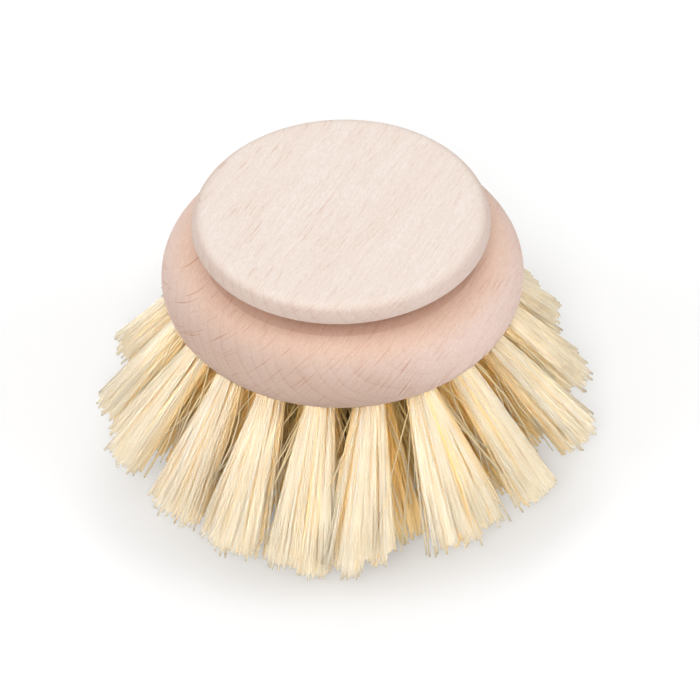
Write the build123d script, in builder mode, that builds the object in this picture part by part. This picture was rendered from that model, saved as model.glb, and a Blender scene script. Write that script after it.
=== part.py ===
from build123d import *
from math import atan2, cos, degrees, pi, radians, sin, sqrt, tan
import os

# Round dish brush head: one turned beech block with natural fibre tufts stapled into its underside.
# Millimetres, +Z up. The origin is on the axis of turning, on the surface that the bristles stand on.

# Body of the turned block
stand_height = 30.0  # from the standing surface up to the widest circle of the body
body_radius = 25.0  # widest circle of the body
shoulder_round = 5.7  # radius of the quarter round above the widest circle
lower_round = 4.7  # radius of the round below the widest circle
under_slope = 15.0  # degrees of the coned underside that carries on from the lower round

# Disc on top, with the clip groove under it
disc_radius = 20.4
disc_thickness = 3.1
disc_round = 2.2  # radius of the disc's upper edge
disc_bevel = 0.8  # sanded bevel of the disc's lower edge
neck_radius = 14.0  # wood left inside the clip groove
groove_mouth = 2.5  # between the disc and the top of the shoulder, where the clip goes in
groove_height = 3.5  # height of the groove at the neck, where the clip rests

# Drilled holes and the flat wire anchors that hold the tufts in them
hole_radius = 2.0
hole_depth = 6.4  # along the hole, from its mouth to its flat end
hole_clearance = 0.05  # between a packed root and the wall of its hole
anchor_thickness = 0.4
anchor_width = 2.0  # along the hole
anchor_turn = 45.0  # degrees between an anchor and the line along its ring
anchor_clearance = 0.04  # around an anchor, to the wall of its hole and to the fibres
fold_depth = 1.0  # fibres folded over below each anchor

# Tufts: a packed root in the hole, and strands that fan out of it
root_stand_out = 1.5  # the packed root ends this far outside the mouth
root_gap = 0.1  # between the packed root and the end of its hole
root_sides = 12  # sides of the packed root, which fills its round hole
strand_width = 0.6  # of a strand's square section, which is as deep as it is wide
strand_sink = 0.4  # how deep the strands start inside the packed root
end_drop = 1.0  # the outermost ends of a tuft are cut this much before its middle
end_unevenness = 1.4  # the shortest strand ends this much before a full one
floor_cut = 0.5  # what the longest standing strands lose to the flat that they stand on

# Rings of tufts: lean angles in degrees from the vertical, lengths along the tuft from mouth to tip
outer_inset = 6.0  # from the widest circle of the body in to the mouths of the outer ring
outer_count = 18
outer_lean_angle = 38.0
outer_length = 24.2
outer_fan_width = 10.4
outer_fan_depth = 5.6
outer_strands = 10

middle_count = 12
middle_lean_angle = 33.0
middle_length = 24.2
middle_fan_width = 9.0
middle_fan_depth = 6.4
middle_strands = 9

inner_count = 6
inner_lean_angle = 16.0
inner_length = 23.8
inner_fan_width = 8.6
inner_fan_depth = 7.4
inner_strands = 8

centre_fan = 7.6
centre_strands = 8

# The rings of holes are evenly spaced, and the flat of the underside ends between the inner two
outer_radius = body_radius - outer_inset
inner_radius = outer_radius / 3
middle_radius = 2 * inner_radius
under_flat_radius = (inner_radius + middle_radius) / 2

# Turns of the strands and rings, and fits that are worked out from the sizes above
golden_turn = pi * (3 - sqrt(5))
middle_first_turn = 180 / middle_count
root_radius = hole_radius - hole_clearance
anchor_length = 2 * (hole_radius - anchor_clearance)
pack_radius = root_radius - strand_width * sqrt(2) / 2

# The lower round runs on without a corner into the coned underside
cone_slope = radians(under_slope)
cone_edge_radius = body_radius - lower_round + lower_round * sin(cone_slope)
cone_edge_height = stand_height - lower_round * cos(cone_slope)


def under_height(distance):
    """Height of the underside at a distance from the axis."""
    reach = cone_edge_radius - max(distance, under_flat_radius)
    return cone_edge_height - reach * tan(cone_slope)


def seat(ring_radius, lean, turn):
    """Plane at the mouth of a hole: Z runs out along the tuft, X along the ring and Y outwards."""
    outwards = Vector(cos(radians(turn)), sin(radians(turn)), 0)
    along_ring = Vector(-sin(radians(turn)), cos(radians(turn)), 0)
    down = Vector(0, 0, -1)
    mouth = outwards * ring_radius + Vector(0, 0, under_height(ring_radius))
    return Plane(
        origin=mouth,
        x_dir=along_ring,
        z_dir=outwards * sin(radians(lean)) + down * cos(radians(lean)),
    )


def ring_seats(count, ring_radius, lean, first_turn):
    return [seat(ring_radius, lean, first_turn + 360 * i / count) for i in range(count)]


outer_seats = ring_seats(outer_count, outer_radius, outer_lean_angle, 0)
middle_seats = ring_seats(middle_count, middle_radius, middle_lean_angle, middle_first_turn)
inner_seats = ring_seats(inner_count, inner_radius, inner_lean_angle, 0)
centre_seat = seat(0, 0, 0)
seats = outer_seats + middle_seats + inner_seats + [centre_seat]

anchor_level = hole_depth - root_gap - fold_depth - anchor_width / 2
anchor_in_hole = Location((0, 0, -anchor_level), (0, 0, anchor_turn))
anchor_places = [place.location * anchor_in_hole for place in seats]

os.makedirs("parts", exist_ok=True)

# The turned block is one piece of beech. Its node is split in the plane at the bottom of the clip groove.
shoulder_radius = body_radius - shoulder_round
shoulder_height = stand_height + shoulder_round
disc_under_height = shoulder_height + groove_mouth
face_height = disc_under_height + disc_thickness
groove_floor_height = disc_under_height - groove_height

# Body: half of its outline turned round the axis, then drilled from below
with BuildPart() as wood_body:
    with BuildSketch(Plane.XZ):
        with BuildLine():
            CenterArc((shoulder_radius, stand_height), shoulder_round, start_angle=0, arc_size=90)
            CenterArc(
                (body_radius - lower_round, stand_height),
                lower_round,
                start_angle=under_slope - 90,
                arc_size=90 - under_slope,
            )
            Polyline(
                (cone_edge_radius, cone_edge_height),
                (under_flat_radius, under_height(0)),
                (0, under_height(0)),
                (0, groove_floor_height),
                (neck_radius, groove_floor_height),
                (shoulder_radius, shoulder_height),
            )
        make_face()
    revolve(axis=Axis.Z)
    with Locations(*seats):
        Hole(hole_radius, hole_depth)

wood_body.part.label = "wood_body"
export_step(wood_body.part, "parts/wood_body.step")

# Disc: the neck inside the clip groove and the flat disc over it
with BuildPart() as wood_disc:
    with BuildSketch(Plane.XZ):
        with BuildLine():
            face = Line((0, face_height), (disc_radius - disc_round, face_height))
            edge = TangentArc(face @ 1, (disc_radius, face_height - disc_round), tangent=(1, 0))
            Polyline(
                edge @ 1,
                (disc_radius, disc_under_height + disc_bevel),
                (disc_radius - disc_bevel, disc_under_height),
                (neck_radius, disc_under_height),
                (neck_radius, groove_floor_height),
                (0, groove_floor_height),
                face @ 0,
            )
        make_face()
    revolve(axis=Axis.Z)

wood_disc.part.label = "wood_disc"
export_step(wood_disc.part, "parts/wood_disc.step")

# Anchors: one short piece of flat wire across the fold of each tuft, from wall to wall of its hole
with BuildPart() as anchors:
    with Locations(*anchor_places):
        Box(anchor_length, anchor_thickness, anchor_width)

anchors.part.label = "anchors"
export_step(anchors.part, "parts/anchors.step")


def strand(place, fan_width, fan_depth, length, end_loss):
    """One strand, from its place in the packed root towards the same place in the wider fan."""
    foot_level = root_stand_out - strand_sink
    foot = Vector(place[0] * pack_radius, place[1] * pack_radius, foot_level)
    tip = Vector(place[0] * fan_width / 2, place[1] * fan_depth / 2, length)
    run = tip - foot
    share_kept = 1 - end_loss / (length - foot_level)
    with BuildPart() as one_strand:
        with BuildSketch(Plane.XY.offset(foot_level)):
            with Locations((foot.X, foot.Y)):
                Rectangle(strand_width, strand_width, rotation=degrees(atan2(place[1], place[0])))
        extrude(amount=run.length * share_kept, dir=run)
    return one_strand.part


def fan(count, fan_width, fan_depth, length, serial):
    """All strands of one tuft, spread like the seeds of a sunflower so that none cross."""
    strands = []
    for i in range(count):
        spread = sqrt((i + 0.5) / count)
        turn = i * golden_turn + serial
        place = (spread * cos(turn), spread * sin(turn))
        uneven_share = (i * golden_turn + serial * golden_turn) % 1
        end_loss = end_drop * spread**2 + end_unevenness * uneven_share
        strands.append(strand(place, fan_width, fan_depth, length, end_loss))
    return strands


def export_tuft(name, place, strands):
    """Packed root in its hole, slotted for its anchor, with the strands joined to it in one fuse."""
    root_length = root_stand_out + hole_depth - root_gap
    with BuildPart(place) as tuft:
        with BuildSketch(place.offset(root_stand_out)):
            RegularPolygon(root_radius, root_sides)
        extrude(amount=-root_length)
        with Locations(anchor_in_hole):
            Box(
                2 * hole_radius,
                anchor_thickness + 2 * anchor_clearance,
                anchor_width + 2 * anchor_clearance,
                mode=Mode.SUBTRACT,
            )
        add(strands)
        if tuft.part.bounding_box().min.Z < 0:
            split(bisect_by=Plane.XY, keep=Keep.TOP)
    tuft.part.label = name
    export_step(tuft.part, f"parts/{name}.step")


# Rings of tufts. Opposite tufts share a serial number, so the head is alike on both sides of its axis.
for i, place in enumerate(outer_seats):
    serial = i % (outer_count // 2)
    strands = fan(outer_strands, outer_fan_width, outer_fan_depth, outer_length, serial)
    export_tuft(f"tuft_outer_{i + 1:02d}", place, strands)

for i, place in enumerate(middle_seats):
    serial = i % (middle_count // 2)
    strands = fan(middle_strands, middle_fan_width, middle_fan_depth, middle_length, serial)
    export_tuft(f"tuft_middle_{i + 1:02d}", place, strands)

for i, place in enumerate(inner_seats):
    serial = i % (inner_count // 2)
    strands = fan(inner_strands, inner_fan_width, inner_fan_depth, inner_length, serial)
    export_tuft(f"tuft_inner_{i + 1:02d}", place, strands)

# Centre tuft: upright, and long enough to reach past the standing surface before it is cut flat there
centre_length = under_height(0) + floor_cut + end_drop
export_tuft("tuft_centre", centre_seat, fan(centre_strands, centre_fan, centre_fan, centre_length, 0))
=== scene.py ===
import math
import random

import bmesh
import bpy
from mathutils import Matrix, Vector


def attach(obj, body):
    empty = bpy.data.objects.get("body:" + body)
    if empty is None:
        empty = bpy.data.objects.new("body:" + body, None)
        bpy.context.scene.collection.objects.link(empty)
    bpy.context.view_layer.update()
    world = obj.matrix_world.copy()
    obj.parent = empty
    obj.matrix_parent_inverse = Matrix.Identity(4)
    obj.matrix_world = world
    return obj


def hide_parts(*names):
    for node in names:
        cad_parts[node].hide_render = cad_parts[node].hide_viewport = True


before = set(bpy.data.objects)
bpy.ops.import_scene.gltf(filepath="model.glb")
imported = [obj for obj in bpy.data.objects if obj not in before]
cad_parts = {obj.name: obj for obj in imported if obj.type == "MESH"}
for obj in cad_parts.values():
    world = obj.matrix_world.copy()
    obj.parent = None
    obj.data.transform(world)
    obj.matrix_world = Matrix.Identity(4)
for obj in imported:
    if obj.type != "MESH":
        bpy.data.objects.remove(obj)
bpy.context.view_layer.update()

# The block is one piece of steamed beech, turned, grooved for the handle's clip and sanded, with
# no oil or lacquer. Its grain lies across the axis, so the top shows short ray flecks and the
# front end grain shows the arcs of the growth rings.
grain_turn = math.radians(62)
pith_side, pith_height = -0.038, 0.068
usual_pith_distance = 0.055
ring_spacing = 0.0017
disc_start_height, disc_full_height = 0.0366, 0.0384
long_grain_colour = (0.85, 0.67, 0.60, 1)
end_grain_colour = (0.60, 0.445, 0.37, 1)
# Painted light: the disc's edge and flat top get paler colours than the body, as if lit more
# strongly
lit_disc_edge_colour = (0.71, 0.61, 0.555, 1)
lit_disc_face_colour = (0.905, 0.81, 0.745, 1)


def add_node(tree, kind, values=None, **settings):
    """Adds a node, sets its own settings, and fills or links its inputs by name or number."""
    made = tree.nodes.new(kind)
    for key, setting in settings.items():
        setattr(made, key, setting)
    for key, value in (values or {}).items():
        if isinstance(value, bpy.types.NodeSocket):
            tree.links.new(value, made.inputs[key])
        else:
            made.inputs[key].default_value = value
    return made


def add_math(tree, operation, *values):
    return add_node(tree, "ShaderNodeMath", dict(enumerate(values)), operation=operation).outputs[0]


def add_vector_math(tree, operation, *values):
    """The node, whose first output is a vector and whose Value is a number."""
    return add_node(tree, "ShaderNodeVectorMath", dict(enumerate(values)), operation=operation)


def add_range(tree, value, low, high, to_low=0.0, to_high=1.0):
    values = {
        "Value": value,
        "From Min": low,
        "From Max": high,
        "To Min": to_low,
        "To Max": to_high,
    }
    made = add_node(tree, "ShaderNodeMapRange", values, interpolation_type="SMOOTHSTEP")
    return made.outputs[0]


def add_tint(tree, share, first, second, blend="MIX"):
    """Mixes two colours. A Mix node has its colours at inputs 6 and 7 and output 2."""
    values = {0: share, 6: first, 7: second}
    made = add_node(tree, "ShaderNodeMix", values, data_type="RGBA", blend_type=blend)
    return made.outputs[2]


def add_noise(tree, vector, scale, detail=2.0, roughness=0.5):
    values = {"Vector": vector, "Scale": scale, "Detail": detail, "Roughness": roughness}
    return add_node(tree, "ShaderNodeTexNoise", values)


def new_material(name):
    """A material with its node tree and its Principled BSDF."""
    made = bpy.data.materials.new(name)
    made.use_nodes = True
    return made, made.node_tree, made.node_tree.nodes["Principled BSDF"]


beech, tree, surface = new_material("beech")
place = add_node(tree, "ShaderNodeTexCoord").outputs["Object"]
grain_mapping = {"Vector": place, "Rotation": (0, 0, -grain_turn)}
along_grain = add_node(tree, "ShaderNodeMapping", grain_mapping).outputs[0]
waver = add_noise(tree, along_grain, 55.0, 1.0).outputs["Color"]
waver = add_vector_math(tree, "SUBTRACT", waver, (0.5, 0.5, 0.5)).outputs[0]
waved = add_vector_math(tree, "MULTIPLY_ADD", waver, (0.0, 0.0014, 0.0014), along_grain).outputs[0]
grain_length, side, height = add_node(tree, "ShaderNodeSeparateXYZ", {0: waved}).outputs
side = add_math(tree, "SUBTRACT", side, pith_side)
height = add_math(tree, "SUBTRACT", height, pith_height)
side_squared = add_math(tree, "MULTIPLY", side, side)
height_squared = add_math(tree, "MULTIPLY", height, height)
from_pith = add_math(tree, "SQRT", add_math(tree, "ADD", side_squared, height_squared))
round_pith = add_math(tree, "ARCTAN2", height, side)


def add_stretched(tree, lengthwise, outwards, round_it):
    """Wood coordinates along the grain, out from the pith and round it, each over a real length."""
    values = {
        0: add_math(tree, "DIVIDE", grain_length, lengthwise),
        1: add_math(tree, "DIVIDE", from_pith, outwards),
        2: add_math(tree, "DIVIDE", round_pith, round_it / usual_pith_distance),
    }
    return add_node(tree, "ShaderNodeCombineXYZ", values).outputs[0]


facing = add_node(tree, "ShaderNodeNewGeometry").outputs["Normal"]
upwards = add_node(tree, "ShaderNodeSeparateXYZ", {0: facing}).outputs[2]
grain_way = (math.cos(grain_turn), math.sin(grain_turn), 0)
end_grain = add_vector_math(tree, "DOT_PRODUCT", facing, grain_way).outputs["Value"]
end_share = add_range(tree, add_math(tree, "ABSOLUTE", end_grain), 0.25, 0.95)
# Growth rings: a thin darker line at the end of each year, which shows best on the end grain
uneven = add_noise(tree, add_stretched(tree, 0.05, 0.004, 0.02), 1.0, 1.0).outputs[0]
years = add_math(tree, "DIVIDE", from_pith, ring_spacing)
year = add_math(tree, "FRACT", add_math(tree, "MULTIPLY_ADD", uneven, 1.5, years))
ring_strength = add_range(tree, end_share, 0.0, 1.0, 0.10, 0.42)
ring_lines = add_math(tree, "MULTIPLY", add_math(tree, "POWER", year, 6.0), ring_strength)
# Rays: short dark spindles along the grain on the face, and long fine lines on the end grain
rays = add_noise(tree, add_stretched(tree, 0.0046, 0.0065, 0.00014), 1.0, 1.0).outputs[0]
gathered = add_noise(tree, add_stretched(tree, 0.010, 0.010, 0.004), 1.0, 1.0).outputs[0]
flecks = add_range(tree, add_math(tree, "MULTIPLY_ADD", gathered, 0.06, rays), 0.655, 0.75)
# Fibre: fine pale and dark streaks along the grain, and broad cloudy differences in tone
streaks = add_noise(tree, add_stretched(tree, 0.011, 0.00030, 0.00030), 1.0, 2.0, 0.6).outputs[0]
clouds = add_noise(tree, add_stretched(tree, 0.028, 0.005, 0.005), 1.0, 2.0).outputs[0]
# Pores: fine darker specks, drawn out along the grain
pores = add_noise(tree, add_stretched(tree, 0.0008, 0.00016, 0.00016), 1.0, 1.0).outputs[0]
# Painted light: the disc is painted paler than the body, and palest on its flat top, where the
# light falls fullest
tint = add_tint(tree, end_share, long_grain_colour, end_grain_colour)
# Painted shade: the body's upward-facing shoulder, in the groove under the disc, is tinted warmer
# and darker
groove_shade_share = add_range(tree, upwards, 0.55, 1.0, 0.0, 0.9)
tint = add_tint(tree, groove_shade_share, tint, (1.0, 0.92, 0.82, 1), "MULTIPLY")
level = add_node(tree, "ShaderNodeSeparateXYZ", {0: place}).outputs[2]
disc_light_share = add_range(tree, level, disc_start_height, disc_full_height)
tint = add_tint(tree, add_math(tree, "MULTIPLY", disc_light_share, 0.6), tint, lit_disc_edge_colour)
# Painted light: upward faces of the disc take the palest colour
lit_face_share = add_math(tree, "MULTIPLY", disc_light_share, add_range(tree, upwards, 0.60, 1.0))
tint = add_tint(tree, lit_face_share, tint, lit_disc_face_colour)
for pattern, low, high, strength, darkening in (
    (clouds, 0.35, 0.65, 0.6, (0.97, 0.935, 0.915, 1)),
    (streaks, 0.3, 0.7, 0.30, (0.89, 0.83, 0.79, 1)),
    (pores, 0.3, 0.7, 0.45, (0.86, 0.78, 0.72, 1)),
):
    pattern_share = add_range(tree, pattern, low, high, 0.0, strength)
    tint = add_tint(tree, pattern_share, tint, darkening, "MULTIPLY")
tint = add_tint(tree, ring_lines, tint, (0.80, 0.70, 0.66, 1), "MULTIPLY")
# Flecks are painted fainter in the disc's painted light
fleck_share = add_math(tree, "MULTIPLY", flecks, add_range(tree, disc_light_share, 0.0, 1.0, 0.75, 0.36))
tint = add_tint(tree, fleck_share, tint, (0.80, 0.55, 0.43, 1), "MULTIPLY")
relief = add_math(tree, "MULTIPLY_ADD", streaks, 0.5, add_math(tree, "MULTIPLY", flecks, -0.5))
bump_values = {"Strength": 0.3, "Distance": 0.00005, "Height": relief}
bump = add_node(tree, "ShaderNodeBump", bump_values).outputs[0]
tree.links.new(tint, surface.inputs["Base Color"])
tree.links.new(add_range(tree, streaks, 0.2, 0.8, 0.52, 0.66), surface.inputs["Roughness"])
tree.links.new(bump, surface.inputs["Normal"])
surface.inputs["Specular IOR Level"].default_value = 0.35
for name in ("wood_body", "wood_disc"):
    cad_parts[name].material_slots[0].material = beech

# The anchors are short pieces of flat steel wire. A machine folds each tuft over one and drives it
# down its hole, turned across the ring so that neighbouring anchors don't split the wood.
anchor_turn = math.radians(45)
anchor_steel, tree, surface = new_material("anchor_steel")
place = add_node(tree, "ShaderNodeTexCoord").outputs["Object"]
wire_mapping = {"Vector": place, "Scale": (900, 900, 6000)}
drawn = add_node(tree, "ShaderNodeMapping", wire_mapping).outputs[0]
lines = add_noise(tree, drawn, 1.0, 3.0).outputs[0]
tint = add_tint(tree, lines, (0.38, 0.38, 0.37, 1), (0.56, 0.55, 0.53, 1))
tree.links.new(tint, surface.inputs["Base Color"])
tree.links.new(add_range(tree, lines, 0.2, 0.8, 0.28, 0.5), surface.inputs["Roughness"])
surface.inputs["Metallic"].default_value = 1.0
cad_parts["anchors"].material_slots[0].material = anchor_steel

# The fibres are pale plant fibre, stiff and slightly glossy, and each one differs a little in tone
# from the next. Painted shade makes them warmer straw deep in a tuft and on its flanks, and gold
# towards their roots; painted light makes loose fibres and open tips paler cream. They are
# folded over an anchor in their hole, and their tips gather in locks.
fibre_count = 200
lock_count = 14
lock_spread = 0.46  # of the locks over half a fan, as a standard deviation
golden_turn = 2.39996  # radians from one fibre to the next, so that they fill the round evenly
fibre_radii = (0.00015, 0.00020)
loose_radii = (0.00009, 0.00014)
packed_radius = 0.00176  # of the outermost fibres in the hole
anchor_room = 0.00042  # from the middle of an anchor to the fibres beside it
anchor_side = Vector((-math.sin(anchor_turn), math.cos(anchor_turn)))
fold_height = -0.0061  # along the hole, from its mouth
# Sections of a fibre: how far along it they lie, and the share of its full radius there
fibre_sections = ((0.0, 0.64), (0.13, 0.80), (0.3, 0.92), (0.5, 1.0), (0.74, 1.0), (1.0, 0.95))


def add_attribute(tree, name):
    return add_node(tree, "ShaderNodeAttribute", attribute_name=name).outputs["Fac"]


plant_fibre, tree, surface = new_material("plant_fibre")
own_tone = add_attribute(tree, "tone")
unshaded_share = add_attribute(tree, "unshaded_share")
painted_shade_share = add_attribute(tree, "depth")
spreading = add_attribute(tree, "spreading")
place = add_node(tree, "ShaderNodeTexCoord").outputs["Object"]
mottle = add_noise(tree, place, 420.0, 2.0).outputs[0]
cream = add_tint(tree, own_tone, (0.665, 0.565, 0.40, 1), (0.70, 0.66, 0.57, 1))
# Painted light: loose fibres and open tips are painted paler cream, standing in for light that
# passes through them
painted_glow_share = add_range(tree, spreading, 0.75, 0.25, 0.0, 0.7)
cream = add_tint(tree, painted_glow_share, cream, (0.855, 0.765, 0.585, 1))
straw = add_tint(tree, own_tone, (0.93, 0.66, 0.29, 1), (0.93, 0.73, 0.41, 1))
# Painted shade: fibres deep in a tuft and on its flanks turn from cream to straw
outer_tint = add_tint(tree, add_range(tree, painted_shade_share, 0.10, 0.45), cream, straw)
golden = add_tint(tree, own_tone, (0.98, 0.67, 0.22, 1), (0.98, 0.75, 0.35, 1))
# Painted shade: fibres are gold towards their roots and along most of the inner tufts, cream where
# lit
tint = add_tint(tree, unshaded_share, golden, outer_tint)
mottle_share = add_range(tree, mottle, 0.3, 0.7, 0.0, 0.5)
tint = add_tint(tree, mottle_share, tint, (0.97, 0.93, 0.86, 1), "MULTIPLY")
tree.links.new(tint, surface.inputs["Base Color"])
tree.links.new(add_range(tree, mottle, 0.25, 0.75, 0.42, 0.58), surface.inputs["Roughness"])
surface.inputs["Specular IOR Level"].default_value = 0.12
# Light passes from fibre to fibre in a tuft, less so at its open tips, and not in loose fibres
tree.links.new(spreading, surface.inputs["Subsurface Weight"])
surface.inputs["Subsurface Radius"].default_value = (1.0, 1.0, 1.0)
surface.inputs["Subsurface Scale"].default_value = 0.003
surface.subsurface_method = "BURLEY"


def hole_seat(ring, lean, turn):
    """Places the mouth of a hole: X runs along its ring, and Z out of the hole along its tuft."""
    outwards = Vector((math.cos(turn), math.sin(turn), 0))
    sideways = Vector((-math.sin(turn), math.cos(turn), 0))
    axis = outwards * math.sin(lean) - Vector((0, 0, math.cos(lean)))
    seat = Matrix((sideways, axis.cross(sideways), axis)).transposed().to_4x4()
    seat.translation = outwards * ring[0] + Vector((0, 0, ring[1]))
    return seat


def fibre_path(rng, number, locks, length, fan, pale_from, sway):
    """Sections of one fibre, each with its middle, radius, painted shade deep in the tuft, unshaded
    share along it, and spreading.
    """
    # The first fibres fill the round from the middle outwards, and loose ones start near its edge
    stray = number >= fibre_count
    share = 0.9 if stray else math.sqrt((number + 0.5) / fibre_count)
    angle = number * golden_turn + rng.uniform(-0.35, 0.35)
    spot = Vector((math.cos(angle), math.sin(angle))) * share
    radius = rng.uniform(*(loose_radii if stray else fibre_radii))
    root = spot * packed_radius
    off = root.dot(anchor_side)
    if abs(off) < anchor_room:
        root += anchor_side * (math.copysign(anchor_room, off) - off)
    # A fibre bends towards the nearest lock and bows a little
    tip = Vector((spot.x * fan[0], spot.y * fan[1])) / 2
    nearest, extra = min(locks, key=lambda lock: (lock[0] - tip).length)
    tip = tip.lerp(nearest, rng.uniform(0.0, 0.30))
    tip += Vector((rng.gauss(0, 0.00055), rng.gauss(0, 0.00035)))
    bow = Vector((rng.gauss(0, 0.00014), rng.gauss(0, 0.00014)))
    # The cut is rough and slightly domed, and a few fibres stand out of it
    end = length + extra - 0.0008 * share**2 - 0.0026 * rng.random() ** 2 + 0.0004 * rng.random()
    if rng.random() < 0.06:
        end += rng.uniform(0.0004, 0.0011)
    if stray:
        tip = Vector((rng.gauss(0, lock_spread) * fan[0], -rng.uniform(0.0, 1.0) * fan[1] / 2))
        bow += Vector((rng.gauss(0, 0.0009), rng.gauss(0, 0.0005)))
        end *= rng.uniform(0.60, 0.98)
    tip.x += sway
    # Painted shade: fibres on the flanks and the underside of a tuft are painted more
    # straw-coloured, where shade falls
    shaded = 0.7 if stray else min(1.0, max(0.0, 0.55 - 0.9 * math.sin(angle)))
    path = [(Vector((root.x, root.y, fold_height)), radius * 0.60, 1.0, 0.0, 0.0)]
    for step, swell in fibre_sections:
        middle = root.lerp(tip, step) + bow * math.sin(math.pi * step)
        painted_shade = max((1.0 - share) * (1.0 - 0.8 * step**3), 0.45 * shaded * (1.0 - 0.4 * step))
        pale = (end * step / length - pale_from[0]) / (pale_from[1] - pale_from[0])
        pale = min(1.0, max(0.0, pale)) * (1.0 - 0.6 * shaded * (1.0 - step))
        spread = 0.0 if stray else 0.75 - 0.20 * step**2
        middle = Vector((middle.x, middle.y, end * step))
        path.append((middle, radius * swell, painted_shade, pale, spread))
    return path


def fibre_tuft(node, ring, lean, turn, length, fan, pale_from, seed, sway=0.0, strays=16):
    """Bundles fibres in one hole and lets them fan out to a rough square cut.

    The ring is its holes' distance from the axis and the height of their mouths, and the fan is
    as wide and deep at the tips. Between the two shares of its length in pale_from, a fibre turns
    from painted shade in gold to cream. Use has pushed the tips sideways by sway.
    """
    rng = random.Random(seed)
    locks = []
    for _ in range(lock_count):
        x, y = rng.gauss(0, lock_spread) * fan[0], rng.gauss(0, lock_spread) * fan[1]
        locks.append((Vector((x, y)) / 2, rng.gauss(-0.0003, 0.0005)))
    bundle = bmesh.new()
    tone_layer = bundle.verts.layers.float.new("tone")
    unshaded_layer = bundle.verts.layers.float.new("unshaded_share")
    painted_shade_layer = bundle.verts.layers.float.new("depth")
    spread_layer = bundle.verts.layers.float.new("spreading")
    which = bundle.faces.layers.int.new("which")
    paths = []
    for i in range(fibre_count + strays):
        path = fibre_path(rng, i, locks, length, fan, pale_from, sway)
        paths.append(path)
        foot, foot_radius = path[0][:2]
        start = bmesh.ops.create_circle(
            bundle, cap_ends=True, segments=5, radius=foot_radius, matrix=Matrix.Translation(foot)
        )["verts"]
        own = rng.betavariate(2.4, 1.9)
        for vert in start:
            vert[tone_layer] = own
        start[0].link_faces[0][which] = i
    growing = list(bundle.faces)
    for level in range(1, len(paths[0])):
        growing = bmesh.ops.extrude_discrete_faces(bundle, faces=growing)["faces"]
        for face in growing:
            before, radius_before = paths[face[which]][level - 1][:2]
            after, radius_after, painted_shade, pale, spread = paths[face[which]][level]
            for vert in face.verts:
                vert.co = after + (vert.co - before) * (radius_after / radius_before)
                vert[painted_shade_layer] = painted_shade
                vert[unshaded_layer] = pale
                vert[spread_layer] = spread
    bmesh.ops.transform(bundle, matrix=hole_seat(ring, lean, turn), verts=bundle.verts)
    # Standing fibres are cut flat on the surface that the brush stands on
    bmesh.ops.bisect_plane(
        bundle,
        geom=bundle.verts[:] + bundle.edges[:] + bundle.faces[:],
        plane_co=(0, 0, 0),
        plane_no=(0, 0, 1),
        clear_inner=True,
    )
    open_edges = [edge for edge in bundle.edges if edge.is_boundary]
    bmesh.ops.holes_fill(bundle, edges=open_edges, sides=0)
    bmesh.ops.recalc_face_normals(bundle, faces=bundle.faces)
    for face in bundle.faces:
        face.smooth = len(face.verts) == 4
    mesh = bpy.data.meshes.new(node + "_fibres")
    bundle.to_mesh(mesh)
    bundle.free()
    mesh.materials.append(plant_fibre)
    piece = bpy.data.objects.new(node + "_fibres", mesh)
    bpy.context.scene.collection.objects.link(piece)
    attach(piece, "root")
    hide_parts(node)


# The middle of the brush: an upright tuft in the centre hole and a ring of six that lean out a
# little. They are cut to stand flat on the dish.
centre_hole = (0.0, 0.02224)
inner_ring = (0.00633, 0.02224)
# Painted shade: the centre and inner tufts stay gold over more than half their length
deep_inside = (0.55, 1.10)
fibre_tuft(
    "tuft_centre",
    centre_hole,
    lean=0.0,
    turn=0.0,
    length=0.0234,
    fan=(0.0104, 0.0104),
    pale_from=deep_inside,
    seed=400,
)
for i in range(6):
    fibre_tuft(
        f"tuft_inner_{i + 1:02d}",
        inner_ring,
        lean=math.radians(16),
        turn=math.radians(60 * i),
        length=0.0240,
        fan=(0.0125, 0.0090),
        pale_from=deep_inside,
        seed=300 + i,
        sway=random.Random(300 + i).uniform(-0.0006, 0.0006),
    )

# The second ring has twelve tufts of the same fibre, stapled in the same way. They lean further
# out and fill the gaps behind the outer ones, with more loose fibres between them.
# Painted shade: the middle tufts stay gold over half their length
middle_ring = (0.01267, 0.02309)
for i in range(12):
    fibre_tuft(
        f"tuft_middle_{i + 1:02d}",
        middle_ring,
        lean=math.radians(33),
        turn=math.radians(15 + 30 * i),
        length=0.0246,
        fan=(0.0122, 0.0092),
        pale_from=(0.50, 1.50),
        seed=200 + i,
        sway=(-1) ** i * 0.0018 + random.Random(200 + i).uniform(-0.0006, 0.0006),
        strays=70,
    )

# The outer ring has eighteen tufts that fan out past the block. Use has pushed them a little to
# one side or the other, so their ends are spaced less evenly than their holes.
outer_ring = (0.0190, 0.02479)
full_length, fan_depth = 0.0246, 0.0052
# Tuft number, sideways push, change in length and width of the fan, in millimetres
outer_habits = (
    (0, 0.8, -2.4, 6.6), (1, 1.4, -3.0, 5.8), (2, -2.6, -3.4, 8.2), (3, 1.0, -0.4, 10.8),
    (4, 0.2, 0.0, 10.8), (5, -1.2, 0.0, 10.6), (6, 0.7, -0.4, 10.8), (7, -2.2, -3.2, 10.0),
    (8, 1.8, -2.9, 6.0), (9, 2.4, -0.9, 5.0), (10, -0.3, -0.9, 10.0), (11, 1.6, -0.9, 9.0),
    (12, 0.5, 0.0, 9.0), (13, -1.0, 0.6, 9.6), (14, -4.9, -0.7, 10.2), (15, -0.5, -0.7, 12.0),
    (16, 0.6, -0.4, 5.4), (17, 2.1, 0.6, 6.6),
)
for i, push, change, fan_width in outer_habits:
    fibre_tuft(
        f"tuft_outer_{i + 1:02d}",
        outer_ring,
        lean=math.radians(38.6),
        turn=math.radians(20 * i),
        length=full_length + change / 1000,
        fan=(fan_width / 1000, fan_depth),
        pale_from=(-0.5, 0.15),
        seed=100 + i,
        sway=push / 1000,
        strays=34,
    )

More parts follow.
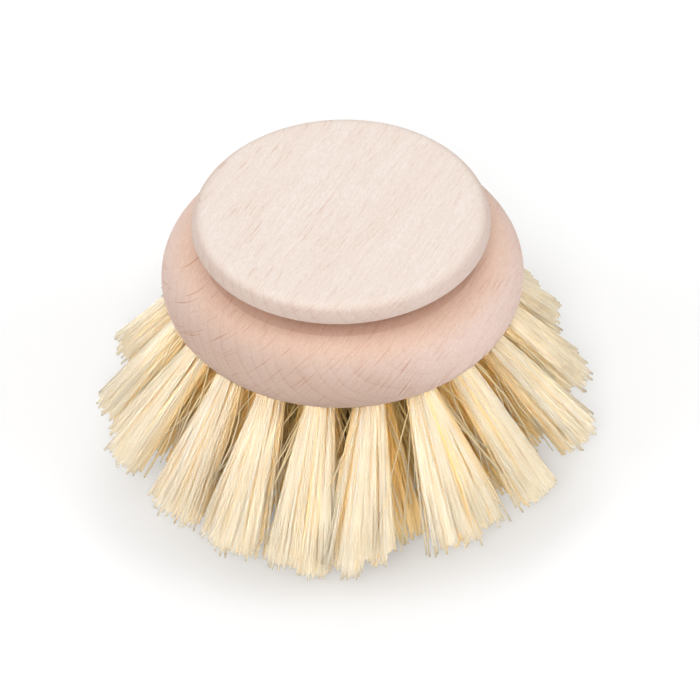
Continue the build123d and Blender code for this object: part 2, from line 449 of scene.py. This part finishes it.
# The camera looks down on the brush from the front, through a long lens and with a slight roll,
# as it does in the photograph.
camera_tilt, camera_roll = math.radians(43.19), math.radians(-1.62)
camera_distance = 0.5
aim = Vector((0, 0, 0.018))
back = Vector((0, -math.cos(camera_tilt), math.sin(camera_tilt)))
right = Vector((1, 0, 0))
camera = bpy.data.objects.new("camera", bpy.data.cameras.new("camera"))
camera.data.lens = 183.3
camera.data.sensor_width = 36
camera.data.shift_x = 0.0081
camera.data.shift_y = -0.0226
camera.data.clip_start = 0.05
camera.data.clip_end = 20
view = Matrix((right, back.cross(right), back)).transposed()
view = view @ Matrix.Rotation(camera_roll, 3, "Z")
camera.matrix_world = Matrix.Translation(aim + back * camera_distance) @ view.to_4x4()
bpy.context.scene.collection.objects.link(camera)
bpy.context.scene.camera = camera

# The brush stands on a plain white studio floor, which shows white to the camera and keeps the
# brush's soft shadow.
floor_reach = 3.0
floor_shape = bmesh.new()
bmesh.ops.create_grid(floor_shape, x_segments=1, y_segments=1, size=floor_reach)
floor_mesh = bpy.data.meshes.new("studio_floor")
floor_shape.to_mesh(floor_mesh)
floor_shape.free()
floor = bpy.data.objects.new("studio_floor", floor_mesh)
bpy.context.scene.collection.objects.link(floor)


def add_plain_view(tree):
    """1 where the camera looks, also through glass or in a mirror, and 0 for all other light."""
    seen = add_node(tree, "ShaderNodeLightPath").outputs
    plain = add_math(tree, "MAXIMUM", seen["Is Camera Ray"], seen["Is Glossy Ray"])
    return add_math(tree, "MAXIMUM", plain, seen["Is Transmission Ray"])


floor_white, tree, surface = new_material("floor_white")
surface.inputs["Base Color"].default_value = (0.80, 0.80, 0.80, 1)
surface.inputs["Roughness"].default_value = 0.9
surface.inputs["Specular IOR Level"].default_value = 0.0
surface.inputs["Emission Color"].default_value = (1, 1, 1, 1)
# The camera sees the floor brighter than the brush does, so that it shows as plain white
glow = add_math(tree, "MULTIPLY", add_plain_view(tree), 0.27)
tree.links.new(glow, surface.inputs["Emission Strength"])
floor_mesh.materials.append(floor_white)

# The light is soft: an even white room, a large lamp in front, and weaker ones at the sides,
# behind and above.
world = bpy.data.worlds.new("studio")
bpy.context.scene.world = world
world.use_nodes = True
background = world.node_tree.nodes["Background"]
background.inputs["Color"].default_value = (1, 1, 1, 1)
room_light = add_range(world.node_tree, add_plain_view(world.node_tree), 0.0, 1.0, 0.46, 1.0)
world.node_tree.links.new(room_light, background.inputs["Strength"])
# Name, place, width and power of each lamp, which faces the brush
for name, spot, width, power in (
    ("key_lamp", Vector((-0.30, -0.35, 1.1)), 0.7, 0.3),
    ("front_lamp", Vector((-0.10, -0.80, 0.72)), 0.5, 4.0),
    ("left_lamp", Vector((-0.80, -0.25, 0.55)), 0.6, 2.4),
    ("right_lamp", Vector((0.80, -0.25, 0.55)), 0.6, 2.4),
    ("back_lamp", Vector((0.10, 0.85, 0.60)), 0.6, 1.8),
):
    lamp = bpy.data.objects.new(name, bpy.data.lights.new(name, "AREA"))
    lamp.data.shape = "DISK"
    lamp.data.size = width
    lamp.data.energy = power
    facing_brush = spot.to_track_quat("Z", "Y").to_matrix().to_4x4()
    lamp.matrix_world = Matrix.Translation(spot) @ facing_brush
    bpy.context.scene.collection.objects.link(lamp)
bpy.context.scene.view_settings.view_transform = "Standard"
